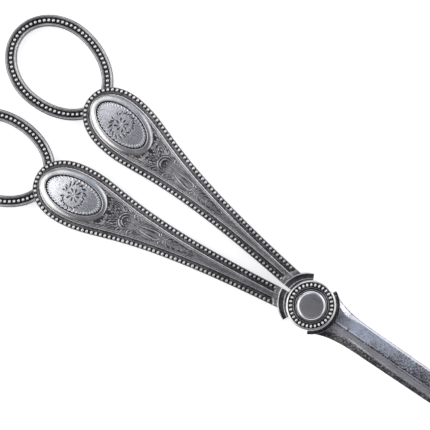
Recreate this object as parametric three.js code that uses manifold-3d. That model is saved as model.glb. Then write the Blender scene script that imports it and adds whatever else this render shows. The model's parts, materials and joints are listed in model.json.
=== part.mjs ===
// A pair of grape scissors, the scissor kind of table tongs, in silver-plated metal.
// Millimetres, +Z up. The origin is on the pivot axis, in the plane that the scissors lie on.
// +Y runs along the closed blades, and the finger loops are at -Y.
// The two halves are one pattern: the thumb half is the finger half turned over about the Y axis.

import * as THREE from 'three';
import { mergeVertices } from 'three/addons/utils/BufferGeometryUtils.js';
import Module from 'manifold-3d';

const wasm = await Module();
wasm.setup();

// Driving dimensions
const FIT_GAP = 0.25; // clearance between neighbouring pieces
const MID_Z = 2.5; // height of the middle plane of both handles

const HANDLE_TURN = THREE.MathUtils.degToRad(7.75); // from each handle line to the centre line
const HANDLE_OFFSET = 2; // from the pivot axis to each handle line
const WAIST_AT = 4; // distances along the handle line are measured from beside the pivot
const WAIST_HALF = 2.75;
const WAIST_PULL = 57.3; // how far down the handle its side keeps the waist's direction
const WIDEST_PULL = 59.5; // and from where it heads for the widest place
const WIDEST_AT = 71.5;
const WIDEST_HALF = 8.8;
const HANDLE_END = 83.6;
const END_FULLNESS = 2.2; // exponent of the rounded handle end, 2 being an ellipse
const RIM_HALF_THICK = 1.45;
const PANEL_HALF_THICK = 1.9;
const PANEL_INSET = 1.6;

const WIRE_INSET = 0.2; // from the handle's edge to the bead wire
const WIRE_WIDTH = 1.12;
const WIRE_HEIGHT = 0.5;

const CARTOUCHE_AT = 71.8;
const BEZEL_OUTER = [6.4, 10.3]; // half-width across the handle, half-length along it
const BEZEL_INNER = [4.75, 8.45];
const BEZEL_HEIGHT = 0.35;
const PLATE_HEIGHT = 0.2;

const LOOP_WIDEST_AT = 96.25;
const LOOP_HALF_WIDTH = 11.36; // of the middle line of the band
const LOOP_FAR_REACH = 13.4;
const LOOP_NEAR_REACH = 16;
const LOOP_HALF_BAND = 1.6;
const LOOP_HALF_THICK = 1.6;
const LOOP_SIDE_HALF = 0.9; // half-height of the band's upright side
const LOOP_CREST = 1.2; // from the band's middle line to the crest of each rail
const LOOP_GROOVE_HALF = 0.8;
const LOOP_GROOVE_DEPTH = 0.5;
const LOOP_BEAD_HEIGHT = 0.4;
const LOOP_STEPS = 30;
const LOOP_END_ANGLE = THREE.MathUtils.degToRad(165);

const LOBE_RADIUS = 6.9;
const LOBE_THICK = 1.5;
const LOBE_SPACING = 0.3; // clearance between the two lobes
const SHOULDER_RADIUS = 8.05;
const SHOULDER_FROM = THREE.MathUtils.degToRad(47.7);
const SHOULDER_TO = THREE.MathUtils.degToRad(62.6);
const BLADE_LENGTH = 66;
const BLADE_HALF = 4.03;
const BLADE_STRAIGHT_FROM = 20;
const BLADE_STRAIGHT_TO = 40;
const BLADE_HALF_AT_CURVE = 3.85;
const SHOULDER_PULL = [4.75, 8.6]; // the blade's side leaves the shoulder towards here
const FLARE_PULL = [4, 11]; // and comes into its straight part from here
const CURVE_PULL = [3.72, 52]; // the straight part turns in towards here
const TIP_PULL = 2.6; // half-width of the curve's last pull, level with the tip
const EDGE_THICK = 0.3; // of the cutting edge
const BEVEL_WIDTH = 0.6;
const BEVEL_THICK = 0.75; // where the bevel starts
const HOLLOW_AT = 1.9; // from the ridge to the hollow on the spine's side
const HOLLOW_THICK = 1.25;
const SPINE_THICK = 0.8;
const BLADE_TIP_THINNING = 0.4; // share of the thickness lost between the shoulder and the tip

const TANG_ROOT = 4; // distances from the pivot along the handle line
const TANG_LENGTH = 20;
const TANG_HALF_WIDTH = 1;
const TANG_THICK = 0.9;

const BOLSTER_INNER = 7.15;
const BOLSTER_OUTER = 8.36;
const BOLSTER_SHIFT = 1.1; // centre of the bolster's outer arc, towards the handles
const BOLSTER_FROM = THREE.MathUtils.degToRad(3.5);
const BOLSTER_TO = THREE.MathUtils.degToRad(62);
const BOLSTER_HALF_OUTER = 1.9;
const BOLSTER_HALF_INNER = 1.1;

const PIN_RADIUS = 1.7;
const PIN_BORE = 1.95;
const PIN_HEAD_RADIUS = 3.6;
const PIN_HEAD_HEIGHT = 0.6;
const PIN_ABOVE_LOBES = 1.2;
const WASHER_RADIUS = 4.5;
const WASHER_THICK = 0.2;
const BOSS_RADIUS = 6.9;
const BOSS_HEIGHT = 1;
const BOSS_RIM_INNER = 6.5;
const BOSS_RIM_HEIGHT = 0.4;
const BOSS_BEAD_OUTER = 6.25;
const BOSS_BEAD_INNER = 5.1;
const BOSS_BEAD_HEIGHT = 0.5;
const BUTTON_RADIUS = 4.4;
const BUTTON_HEIGHT = 1.35;
const BUTTON_SIDE_HEIGHT = 0.45; // of the button's upright side, below its dome

const LOBE_TOP = MID_Z - LOBE_SPACING / 2;
const LOBE_BOTTOM = LOBE_TOP - LOBE_THICK;
const STACK_TOP = MID_Z + LOBE_SPACING / 2 + LOBE_THICK;
const BOSS_BOTTOM = STACK_TOP + FIT_GAP;
const BOSS_TOP = BOSS_BOTTOM + BOSS_HEIGHT;
const ROUND_STEPS = 36;
const CURVE_STEPS = 12;
const FLANK_STEPS = 12;
const END_STEPS = 8;
const DOME_STEPS = 6;
const WELD_DISTANCE = 0.0001;

// Solids: closed three.js geometry in, closed three.js geometry out

// Where the faces point inwards, the order of their corners is reversed.
function toSolid(geometry) {
  const bare = geometry.clone();
  bare.deleteAttribute('normal');
  bare.deleteAttribute('uv');
  const merged = mergeVertices(bare, WELD_DISTANCE);
  const vertProperties = merged.attributes.position.array;
  const triVerts = new Uint32Array(merged.index.array);
  const solid = new wasm.Manifold(new wasm.Mesh({ numProp: 3, vertProperties, triVerts }));
  if (solid.volume() > 0) {
    return solid;
  }
  triVerts.reverse();
  return new wasm.Manifold(new wasm.Mesh({ numProp: 3, vertProperties, triVerts }));
}

function toGeometry(solid) {
  const mesh = solid.getMesh();
  const geometry = new THREE.BufferGeometry();
  geometry.setAttribute('position', new THREE.BufferAttribute(mesh.vertProperties, 3));
  geometry.setIndex(new THREE.BufferAttribute(mesh.triVerts, 1));
  const flat = geometry.toNonIndexed();
  flat.computeVertexNormals();
  return flat;
}

function slab(shape, bottom, top) {
  const geometry = new THREE.ExtrudeGeometry(shape, {
    depth: top - bottom,
    bevelEnabled: false,
    curveSegments: CURVE_STEPS,
  });
  geometry.translate(0, 0, bottom);
  return geometry;
}

// A turned solid about the Z axis; the profile is a list of [radius, height].
function turned(profile) {
  const points = profile.map(([radius, height]) => new THREE.Vector2(radius, height));
  const geometry = new THREE.LatheGeometry(points, ROUND_STEPS);
  geometry.rotateX(Math.PI / 2);
  return geometry;
}

// Outlines in the handle's own frame: +X points away from the other handle, -Y along the handle

function handleSide() {
  const flank = new THREE.CubicBezierCurve(
    new THREE.Vector2(WAIST_HALF, -WAIST_AT),
    new THREE.Vector2(WAIST_HALF, -WAIST_PULL),
    new THREE.Vector2(WIDEST_HALF, -WIDEST_PULL),
    new THREE.Vector2(WIDEST_HALF, -WIDEST_AT),
  );
  const points = flank.getPoints(FLANK_STEPS);
  for (let step = 1; step <= END_STEPS; step += 1) {
    const angle = (step / END_STEPS) * (Math.PI / 2);
    const across = WIDEST_HALF * Math.cos(angle) ** (2 / END_FULLNESS);
    const along = (HANDLE_END - WIDEST_AT) * Math.sin(angle) ** (2 / END_FULLNESS);
    points.push(new THREE.Vector2(step === END_STEPS ? 0 : across, -WIDEST_AT - along));
  }
  return points;
}

// The handle's outline moved inwards by a distance; a negative distance moves it outwards.
function insetSide(distance) {
  const side = handleSide();
  const last = side.length - 1;
  const moved = side.map((point, index) => {
    const before = side[Math.max(index - 1, 0)];
    const after = side[Math.min(index + 1, last)];
    const run = new THREE.Vector2().subVectors(after, before).normalize();
    const inward = new THREE.Vector2(run.y, -run.x);
    if (index === last) {
      inward.set(0, 1);
    }
    return point.clone().addScaledVector(inward, distance);
  });
  return moved.filter((point, index) => point.x > 0 || index === last);
}

// The other side of an outline that ends on the handle line, running back from that end.
function otherSide(points) {
  const back = points.slice(0, -1).reverse();
  return back.map((point) => new THREE.Vector2(-point.x, point.y));
}

function handleOutline(distance) {
  const side = insetSide(distance);
  return new THREE.Shape([...side, ...otherSide(side)]);
}

// The U-shaped band that a bead wire covers, from one side of the pivot end round to the other.
function wireOutline() {
  const outer = insetSide(WIRE_INSET);
  const inner = insetSide(WIRE_INSET + WIRE_WIDTH);
  const wayOut = [...outer, ...otherSide(outer)];
  const wayBack = [...inner, ...otherSide(inner)].reverse();
  return new THREE.Shape([...wayOut, ...wayBack]);
}

function ellipseOutline([across, along]) {
  const outline = new THREE.Shape();
  outline.absellipse(0, -CARTOUCHE_AT, across, along, 0, Math.PI * 2, false, 0);
  return outline;
}

class LoopCurve extends THREE.Curve {
  getPoint(share, target = new THREE.Vector3()) {
    const angle = LOOP_END_ANGLE * (2 * share - 1);
    const reach = Math.cos(angle) > 0 ? LOOP_FAR_REACH : LOOP_NEAR_REACH;
    return target.set(
      LOOP_HALF_WIDTH * Math.sin(angle),
      -LOOP_WIDEST_AT - reach * Math.cos(angle),
      0,
    );
  }
}

// A bar of constant section along the loop; the section is a list of [across, height].
function alongLoop(section) {
  const outline = new THREE.Shape(section.map(([across, height]) => new THREE.Vector2(height, across)));
  return new THREE.ExtrudeGeometry(outline, {
    extrudePath: new LoopCurve(),
    steps: LOOP_STEPS,
    curveSegments: 1,
  });
}

// Places a piece from the handle's frame into its half's frame.
function placeOnHandle(geometry) {
  const placed = geometry.clone();
  placed.rotateZ(HANDLE_TURN);
  placed.translate(HANDLE_OFFSET * Math.cos(HANDLE_TURN), HANDLE_OFFSET * Math.sin(HANDLE_TURN), 0);
  return placed;
}

// The bolster's outer arc as a full round, in the half's frame.
function bolsterRound(clearance) {
  const round = turned([
    [0, -MID_Z],
    [BOLSTER_OUTER + clearance, -MID_Z],
    [BOLSTER_OUTER + clearance, MID_Z],
    [0, MID_Z],
  ]);
  round.translate(0, -BOLSTER_SHIFT, MID_Z);
  return round;
}

// The slot that the tang slides into, with its clearance, in the handle's frame.
function tangBar(clearance) {
  const reach = TANG_LENGTH + clearance;
  const halfWidth = TANG_HALF_WIDTH + clearance;
  const outline = new THREE.Shape();
  outline.moveTo(-halfWidth, -TANG_ROOT);
  outline.lineTo(-halfWidth, -reach);
  outline.lineTo(halfWidth, -reach);
  outline.lineTo(halfWidth, -TANG_ROOT);
  return slab(outline, LOBE_TOP - TANG_THICK - clearance, LOBE_TOP + clearance);
}

// Pieces of one half, in the finger half's frame

function handleBody() {
  const rim = toSolid(slab(handleOutline(0), MID_Z - RIM_HALF_THICK, MID_Z + RIM_HALF_THICK));
  const panelOutline = handleOutline(PANEL_INSET);
  const panel = toSolid(slab(panelOutline, MID_Z - PANEL_HALF_THICK, MID_Z + PANEL_HALF_THICK));
  const body = toSolid(placeOnHandle(toGeometry(rim.add(panel).subtract(toSolid(tangBar(FIT_GAP))))));
  return toGeometry(body.subtract(toSolid(bolsterRound(FIT_GAP))));
}

function beadWire(side) {
  const near = RIM_HALF_THICK + FIT_GAP;
  const bottom = side > 0 ? MID_Z + near : MID_Z - near - WIRE_HEIGHT;
  const wire = toSolid(placeOnHandle(slab(wireOutline(), bottom, bottom + WIRE_HEIGHT)));
  return toGeometry(wire.subtract(toSolid(bolsterRound(FIT_GAP))));
}

function bezel(side) {
  const ring = ellipseOutline(BEZEL_OUTER);
  ring.holes.push(ellipseOutline(BEZEL_INNER));
  const near = PANEL_HALF_THICK + FIT_GAP;
  const bottom = side > 0 ? MID_Z + near : MID_Z - near - BEZEL_HEIGHT;
  return placeOnHandle(slab(ring, bottom, bottom + BEZEL_HEIGHT));
}

function cartouchePlate(side) {
  const inside = BEZEL_INNER.map((reach) => reach - FIT_GAP);
  const near = PANEL_HALF_THICK + FIT_GAP;
  const bottom = side > 0 ? MID_Z + near : MID_Z - near - PLATE_HEIGHT;
  return placeOnHandle(slab(ellipseOutline(inside), bottom, bottom + PLATE_HEIGHT));
}

// The loop is a grooved band whose two ends butt against the rounded end of the handle.
function fingerLoop() {
  const floor = LOOP_HALF_THICK - LOOP_GROOVE_DEPTH;
  const quarter = [
    [LOOP_HALF_BAND, LOOP_SIDE_HALF],
    [LOOP_CREST, LOOP_HALF_THICK],
    [LOOP_GROOVE_HALF, LOOP_HALF_THICK],
    [LOOP_GROOVE_HALF, floor],
  ];
  const back = quarter.slice().reverse();
  const section = [
    ...quarter,
    ...back.map(([across, height]) => [-across, height]),
    ...quarter.map(([across, height]) => [-across, -height]),
    ...back.map(([across, height]) => [across, -height]),
  ];
  return trimLoopEnds(alongLoop(section));
}

function loopBeads(side) {
  const halfWidth = LOOP_GROOVE_HALF - FIT_GAP;
  const bottom = LOOP_HALF_THICK - LOOP_GROOVE_DEPTH + FIT_GAP;
  const top = bottom + LOOP_BEAD_HEIGHT;
  const section = [
    [-halfWidth, side * bottom],
    [halfWidth, side * bottom],
    [halfWidth, side * top],
    [-halfWidth, side * top],
  ];
  return trimLoopEnds(alongLoop(section));
}

function trimLoopEnds(geometry) {
  const handle = toSolid(slab(handleOutline(-FIT_GAP), -MID_Z, MID_Z));
  const trimmed = toGeometry(toSolid(geometry).subtract(handle));
  trimmed.translate(0, 0, MID_Z);
  return placeOnHandle(trimmed);
}

function bladeOutline() {
  const cornerX = SHOULDER_RADIUS * Math.sin(SHOULDER_FROM);
  const cornerY = SHOULDER_RADIUS * Math.cos(SHOULDER_FROM);
  const straight = Math.PI / 2;
  const [shoulderX, shoulderY] = SHOULDER_PULL;
  const [flareX, flareY] = FLARE_PULL;
  const [curveX, curveY] = CURVE_PULL;
  const outline = new THREE.Shape();
  outline.moveTo(0, BLADE_LENGTH);
  outline.bezierCurveTo(-TIP_PULL, BLADE_LENGTH, -curveX, curveY, -BLADE_HALF_AT_CURVE, BLADE_STRAIGHT_TO);
  outline.lineTo(-BLADE_HALF, BLADE_STRAIGHT_FROM);
  outline.bezierCurveTo(-flareX, flareY, -shoulderX, shoulderY, -cornerX, cornerY);
  outline.absarc(0, 0, SHOULDER_RADIUS, straight + SHOULDER_FROM, straight + SHOULDER_TO, false);
  outline.absarc(0, 0, LOBE_RADIUS, straight + SHOULDER_TO, straight - SHOULDER_TO, false);
  outline.absarc(0, 0, SHOULDER_RADIUS, straight - SHOULDER_TO, straight - SHOULDER_FROM, false);
  outline.bezierCurveTo(shoulderX, shoulderY, flareX, flareY, BLADE_HALF, BLADE_STRAIGHT_FROM);
  outline.lineTo(BLADE_HALF_AT_CURVE, BLADE_STRAIGHT_TO);
  outline.bezierCurveTo(curveX, curveY, TIP_PULL, BLADE_LENGTH, 0, BLADE_LENGTH);
  const bore = new THREE.Path();
  bore.absarc(0, 0, PIN_BORE, 0, Math.PI * 2, true);
  outline.holes.push(bore);
  return outline;
}

// The blade's cross-section: flat inside, a ridge outside, the cutting edge on the +X side.
function ridgedBar() {
  const beyond = SHOULDER_RADIUS + 1;
  const knots = [
    [-beyond, 0],
    [-beyond, SPINE_THICK],
    [-BLADE_HALF, SPINE_THICK],
    [-HOLLOW_AT, HOLLOW_THICK],
    [0, LOBE_THICK],
    [BLADE_HALF - BEVEL_WIDTH, BEVEL_THICK],
    [BLADE_HALF, EDGE_THICK],
    [beyond, EDGE_THICK],
    [beyond, 0],
  ];
  const section = new THREE.Shape(knots.map(([across, thick]) => new THREE.Vector2(across, -thick)));
  const bar = new THREE.ExtrudeGeometry(section, {
    depth: BLADE_LENGTH + 1,
    bevelEnabled: false,
    steps: 1,
  });
  bar.rotateX(Math.PI / 2);
  bar.scale(1, -1, 1);
  const places = bar.attributes.position;
  for (let corner = 0; corner < places.count; corner += 1) {
    const thinning = 1 - (BLADE_TIP_THINNING * places.getY(corner)) / BLADE_LENGTH;
    places.setZ(corner, LOBE_TOP + places.getZ(corner) * thinning);
  }
  return bar;
}

function blade() {
  const plate = toSolid(slab(bladeOutline(), LOBE_BOTTOM, LOBE_TOP));
  const ridged = toSolid(ridgedBar());
  const shoulder = toSolid(slab(roundOutline(SHOULDER_RADIUS + FIT_GAP), LOBE_BOTTOM, LOBE_TOP));
  const lobeMiddle = toSolid(slab(roundOutline((PIN_BORE + LOBE_RADIUS) / 2), LOBE_BOTTOM, LOBE_TOP));
  const tang = toSolid(placeOnHandle(tangBar(0))).subtract(lobeMiddle);
  return toGeometry(plate.intersect(ridged.add(shoulder)).add(tang));
}

function roundOutline(radius) {
  const outline = new THREE.Shape();
  outline.absarc(0, 0, radius, 0, Math.PI * 2, false);
  return outline;
}

// The bolster is a sloping arc between the lobe and the handle, in the half's frame.
function bolster() {
  const reach = BOLSTER_OUTER + BOLSTER_SHIFT;
  const ring = toSolid(
    turned([
      [BOLSTER_INNER, -BOLSTER_HALF_INNER],
      [reach, -BOLSTER_HALF_OUTER],
      [reach, BOLSTER_HALF_OUTER],
      [BOLSTER_INNER, BOLSTER_HALF_INNER],
      [BOLSTER_INNER, -BOLSTER_HALF_INNER],
    ]).translate(0, 0, MID_Z),
  );
  const wedge = new THREE.Shape();
  const down = -Math.PI / 2;
  wedge.moveTo(0, 0);
  wedge.lineTo(2 * reach * Math.cos(down + BOLSTER_FROM), 2 * reach * Math.sin(down + BOLSTER_FROM));
  wedge.absarc(0, 0, 2 * reach, down + BOLSTER_FROM, down + BOLSTER_TO, false);
  const sector = toSolid(slab(wedge, 0, 2 * MID_Z));
  const slot = toSolid(placeOnHandle(tangBar(FIT_GAP)));
  return toGeometry(ring.intersect(sector).intersect(toSolid(bolsterRound(0))).subtract(slot));
}

// The pivot stack, from the bottom up

function pivotPin() {
  const top = STACK_TOP + PIN_ABOVE_LOBES;
  return turned([
    [0, 0],
    [PIN_HEAD_RADIUS, 0],
    [PIN_HEAD_RADIUS, PIN_HEAD_HEIGHT],
    [PIN_RADIUS, PIN_HEAD_HEIGHT],
    [PIN_RADIUS, top],
    [0, top],
  ]);
}

function pivotWasher() {
  const bottom = STACK_TOP + FIT_GAP;
  return turned([
    [PIN_BORE, bottom],
    [WASHER_RADIUS, bottom],
    [WASHER_RADIUS, bottom + WASHER_THICK],
    [PIN_BORE, bottom + WASHER_THICK],
    [PIN_BORE, bottom],
  ]);
}

// The boss is a dished disc with a thin upright rim, hollowed underneath for the washer.
function boss() {
  const recess = BOSS_BOTTOM + WASHER_THICK + FIT_GAP;
  const rimTop = BOSS_TOP + BOSS_RIM_HEIGHT;
  return turned([
    [WASHER_RADIUS + FIT_GAP, BOSS_BOTTOM],
    [BOSS_RADIUS, BOSS_BOTTOM],
    [BOSS_RADIUS, rimTop],
    [BOSS_RIM_INNER, rimTop],
    [BOSS_RIM_INNER, BOSS_TOP],
    [PIN_BORE, BOSS_TOP],
    [PIN_BORE, recess],
    [WASHER_RADIUS + FIT_GAP, recess],
    [WASHER_RADIUS + FIT_GAP, BOSS_BOTTOM],
  ]);
}

function bossBeadRing() {
  const bottom = BOSS_TOP + FIT_GAP;
  const top = bottom + BOSS_BEAD_HEIGHT;
  return turned([
    [BOSS_BEAD_INNER, bottom],
    [BOSS_BEAD_OUTER, bottom],
    [BOSS_BEAD_OUTER, top],
    [BOSS_BEAD_INNER, top],
    [BOSS_BEAD_INNER, bottom],
  ]);
}

function bossButton() {
  const bottom = BOSS_TOP + FIT_GAP;
  const domeFrom = bottom + BUTTON_SIDE_HEIGHT;
  const domeRise = BUTTON_HEIGHT - BUTTON_SIDE_HEIGHT;
  const profile = [[0, bottom], [BUTTON_RADIUS, bottom]];
  for (let step = 0; step <= DOME_STEPS; step += 1) {
    const angle = (step / DOME_STEPS) * (Math.PI / 2);
    const radius = step === DOME_STEPS ? 0 : BUTTON_RADIUS * Math.cos(angle);
    profile.push([radius, domeFrom + domeRise * Math.sin(angle)]);
  }
  return turned(profile);
}

// Materials

const FINISHES = {
  oxidised: { color: 0x8a8883, roughness: 0.38, metalness: 1 },
  polished: { color: 0xd4d2cc, roughness: 0.16, metalness: 1 },
  beaded: { color: 0xb9b7b1, roughness: 0.22, metalness: 1 },
  bladed: { color: 0xaeb0b4, roughness: 0.26, metalness: 1 },
  bronze: { color: 0xa9824a, roughness: 0.4, metalness: 1 },
};

function piece(name, geometry, finish) {
  const mesh = new THREE.Mesh(geometry, new THREE.MeshStandardMaterial(FINISHES[finish]));
  mesh.name = name;
  return mesh;
}

// Assembly

// Turning a half over swaps its front and its back.
function half(name, turnedOver) {
  const group = new THREE.Group();
  group.add(piece(`${name}_blade`, blade(), 'bladed'));
  group.add(piece(`${name}_bolster`, bolster(), 'oxidised'));
  group.add(piece(`${name}_handle`, handleBody(), 'oxidised'));
  group.add(piece(`${name}_loop`, fingerLoop(), 'oxidised'));
  for (const side of [1, -1]) {
    const face = (side > 0) !== turnedOver ? 'front' : 'back';
    group.add(piece(`${name}_${face}_bead_wire`, beadWire(side), 'beaded'));
    group.add(piece(`${name}_${face}_bezel`, bezel(side), 'polished'));
    group.add(piece(`${name}_${face}_plate`, cartouchePlate(side), 'polished'));
    group.add(piece(`${name}_${face}_loop_beads`, loopBeads(side), 'beaded'));
  }
  if (turnedOver) {
    group.rotation.y = Math.PI;
    group.position.z = 2 * MID_Z;
  }
  return group;
}

function pivot() {
  const group = new THREE.Group();
  group.add(piece('pivot_pin', pivotPin(), 'oxidised'));
  group.add(piece('pivot_washer', pivotWasher(), 'bronze'));
  group.add(piece('boss', boss(), 'oxidised'));
  group.add(piece('boss_bead_ring', bossBeadRing(), 'beaded'));
  group.add(piece('boss_button', bossButton(), 'polished'));
  return group;
}

const scissors = new THREE.Group();
scissors.add(half('finger', false));
scissors.add(half('thumb', true));
scissors.add(pivot());

export default scissors;
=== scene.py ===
import json
import math

import bpy
import numpy as np
from mathutils import Matrix, Vector


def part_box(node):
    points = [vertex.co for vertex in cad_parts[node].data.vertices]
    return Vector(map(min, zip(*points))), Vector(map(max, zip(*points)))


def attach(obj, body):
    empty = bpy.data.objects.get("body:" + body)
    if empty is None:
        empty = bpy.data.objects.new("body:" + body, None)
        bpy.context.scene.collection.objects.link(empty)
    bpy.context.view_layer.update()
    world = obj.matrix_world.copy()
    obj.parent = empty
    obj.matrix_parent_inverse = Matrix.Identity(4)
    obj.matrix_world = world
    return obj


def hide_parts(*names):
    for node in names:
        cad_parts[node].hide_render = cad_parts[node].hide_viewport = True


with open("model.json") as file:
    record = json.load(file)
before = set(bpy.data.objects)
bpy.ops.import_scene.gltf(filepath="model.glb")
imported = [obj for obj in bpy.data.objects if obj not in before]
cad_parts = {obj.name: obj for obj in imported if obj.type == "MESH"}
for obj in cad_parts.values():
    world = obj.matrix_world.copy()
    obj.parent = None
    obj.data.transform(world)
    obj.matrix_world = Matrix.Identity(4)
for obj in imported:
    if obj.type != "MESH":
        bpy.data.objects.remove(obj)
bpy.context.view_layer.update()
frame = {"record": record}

# Sizes are in millimetres until a mesh is made. Handle frame: "along" runs down the handle line from
# beside the pivot, "across" runs away from the other handle. Half frame: the finger half's own, which is
# the part's frame; the thumb half is the same thing turned over about the Y axis.
# A shape is its points, its quads and the tarnish at each point, from 0, bright, to 1, black: oxide in the
# hollows, with painted shade on some pieces where noted.
MM = 0.001
PIVOT = frame["record"]["behaviour"]["joints"][0]
MID_Z = PIVOT["pos_m"][2] / MM  # height of the middle plane of both handles
HANDLE_TURN = math.radians(7.75)
TURN_COS, TURN_SIN = math.cos(HANDLE_TURN), math.sin(HANDLE_TURN)
HANDLE_OFFSET = 2.0
WAIST_AT = 4.0
WAIST_HALF = 2.75
WAIST_PULL = 57.3  # how far down the handle its waist stays straight
WIDEST_PULL = 59.5
WIDEST_AT = 71.5
WIDEST_HALF = 8.8
HANDLE_END = 83.6
END_FULLNESS = 2.2
BORDER = 2.9  # width of the bead channel, cove and fillet together
CARTOUCHE_AT = 71.8
BEZEL_OUTER = (6.35, 10.3)
BEZEL_INNER = (4.72, 8.4)
LOOP_WIDEST_AT = 96.25
LOOP_HALF_WIDTH = 11.36
LOOP_FAR_REACH = 13.4
LOOP_NEAR_REACH = 16.0
LOOP_SHIFT = 0.25  # the loops' middle line, away from the other handle
BEAD_PITCH = 1.27
BOLSTER_INNER = 6.96
BOLSTER_ARC = 8.36  # radius of the bolster's outer arc
BOLSTER_SHIFT = 1.1  # how far its centre lies behind the pivot
SHOULDER_RADIUS = 8.05
BLADE_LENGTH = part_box("finger_blade")[1].y / MM
LOBE_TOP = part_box("finger_blade")[1].z / MM  # the flat inside faces of the finger half's lobe and blade


# ---- meshes

def surface(x, y, z, tarnish_and_shade, closed=False):
    """A shape from a grid of places whose rows are closed rings; the last row can join the first."""
    x, y, z, tarnish_and_shade = np.broadcast_arrays(x, y, z, tarnish_and_shade)
    index = np.arange(x.size).reshape(x.shape)
    if closed:
        index = np.vstack([index, index[:1]])
    index = np.hstack([index, index[:, :1]])
    corners = [index[:-1, :-1], index[:-1, 1:], index[1:, 1:], index[1:, :-1]]
    quads = np.stack([corner.ravel() for corner in corners], 1)
    return np.stack([x, y, z], 2).reshape(-1, 3), quads, tarnish_and_shade.ravel()


def end_rings(rows, columns):
    """The first and last ring of a grid, wound to match the quads between them."""
    return [np.arange(columns), (rows - 1) * columns + np.arange(columns)[::-1]]


def weld(points, quads, tarnish_and_shade):
    """Joins vertices that share a place and drops the faces that collapse."""
    _, first, same = np.unique(np.round(points, 4), axis=0, return_index=True, return_inverse=True)
    same = same.reshape(-1)
    quads = same[quads]
    doubled = quads == np.roll(quads, -1, axis=1)
    whole = quads[doubled.sum(1) == 0]
    pinched = doubled.sum(1) == 1
    triangles = quads[pinched][~doubled[pinched]].reshape(-1, 3)
    return points[first], whole, triangles, tarnish_and_shade[first], same


def signed_volume(points, faces):
    """Six times the volume inside the faces, negative where they point inwards."""
    start = points[faces[:, 0]]
    total = 0.0
    for k in range(1, faces.shape[1] - 1):
        total += np.einsum("ij,ij->", start, np.cross(points[faces[:, k]], points[faces[:, k + 1]]))
    return total


def make_piece(node, body, shape, slot, material=None, caps=(), sharp=None):
    """A closed mesh that stands for a CAD node and rides on its body; its material is the slot's own
    unless another is named."""
    points, whole, triangles, tarnish_and_shade, same = weld(*shape)
    cap_faces = [list(dict.fromkeys(same[cap].tolist())) for cap in caps]
    faces = whole.tolist() + triangles.tolist() + cap_faces
    volume = signed_volume(points, whole) + signed_volume(points, triangles)
    volume += sum(signed_volume(points, np.array([face])) for face in cap_faces)
    if volume < 0:
        faces = [face[::-1] for face in faces]
    mesh = bpy.data.meshes.new(f"{node}_piece")
    mesh.from_pydata((points * MM).tolist(), [], faces)
    # the tarnish channel: oxide in hollows, and painted shade on some pieces
    layer = mesh.attributes.new("tarnish_and_shade", "FLOAT", "POINT")
    layer.data.foreach_set("value", tarnish_and_shade.astype(np.float32))
    mesh.polygons.foreach_set("use_smooth", np.ones(len(mesh.polygons), bool))
    if sharp is not None:
        mesh.set_sharp_from_angle(angle=math.radians(sharp))
    mesh.materials.append(MATERIALS[material or slot])
    piece = bpy.data.objects.new(f"{node}_piece", mesh)
    bpy.context.scene.collection.objects.link(piece)
    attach(piece, body)
    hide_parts(node)


def half_piece(half, kind, shape, slot, **more):
    """A piece given in the half frame, turned over where it belongs to the thumb half."""
    points, quads, tarnish_and_shade = shape
    if half == "thumb":
        points = np.stack([-points[:, 0], points[:, 1], 2 * MID_Z - points[:, 2]], 1)
    make_piece(f"{half}_{kind}", f"{half}_half", (points, quads, tarnish_and_shade), slot, **more)


def handle_piece(half, kind, shape, slot, **more):
    """A piece given in the handle frame, as across, -along and height above the middle plane."""
    points, quads, tarnish_and_shade = shape
    across, down = points[:, 0] + HANDLE_OFFSET, points[:, 1]
    points = np.stack([TURN_COS * across - TURN_SIN * down, TURN_SIN * across + TURN_COS * down,
                       MID_Z + points[:, 2]], 1)
    half_piece(half, kind, (points, quads, tarnish_and_shade), slot, **more)


def join(*shapes):
    """One shape from several."""
    offset, points, quads, tarnish_and_shade = 0, [], [], []
    for some_points, some_quads, some_tarnish_and_shade in shapes:
        points.append(some_points)
        quads.append(some_quads + offset)
        tarnish_and_shade.append(some_tarnish_and_shade)
        offset += len(some_points)
    return np.vstack(points), np.vstack(quads), np.concatenate(tarnish_and_shade)


def full_circle(steps):
    return np.linspace(0, 2 * math.pi, steps, endpoint=False)


def turned(profile, steps=160):
    """A closed profile of (radius, height, tarnish) turned about the Z axis."""
    radius, height, tarnish_and_shade = np.array(profile, float).T
    angle = full_circle(steps)[:, None]
    return surface(radius * np.cos(angle), radius * np.sin(angle), height, tarnish_and_shade, closed=True)


def smooth_step(low, high, value):
    t = np.clip((value - low) / (high - low), 0, 1)
    return t * t * (3 - 2 * t)


# ---- handle outline

def cubic(p0, p1, p2, p3, count):
    t = np.linspace(0, 1, count)[:, None]
    p0, p1, p2, p3 = (np.asarray(p, float) for p in (p0, p1, p2, p3))
    return (1 - t) ** 3 * p0 + 3 * (1 - t) ** 2 * t * p1 + 3 * (1 - t) * t ** 2 * p2 + t ** 3 * p3


def handle_outline():
    """Dense points (across, along) down one side of the handle and round to its tip."""
    across, along = cubic((WAIST_HALF, WAIST_AT), (WAIST_HALF, WAIST_PULL), (WIDEST_HALF, WIDEST_PULL),
                          (WIDEST_HALF, WIDEST_AT), 900).T
    angle = np.linspace(0, math.pi / 2, 500)[1:]
    end_across = WIDEST_HALF * np.abs(np.cos(angle)) ** (2 / END_FULLNESS)
    end_along = WIDEST_AT + (HANDLE_END - WIDEST_AT) * np.sin(angle) ** (2 / END_FULLNESS)
    end_across[-1] = 0
    return np.concatenate([across, end_across]), np.concatenate([along, end_along])


OUTLINE_ACROSS, OUTLINE_ALONG = handle_outline()
OUTLINE_RUN = np.concatenate(
    [[0], np.cumsum(np.hypot(np.diff(OUTLINE_ACROSS), np.diff(OUTLINE_ALONG)))])


def outline_place(run):
    return np.interp(run, OUTLINE_RUN, OUTLINE_ACROSS), np.interp(run, OUTLINE_RUN, OUTLINE_ALONG)


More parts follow.
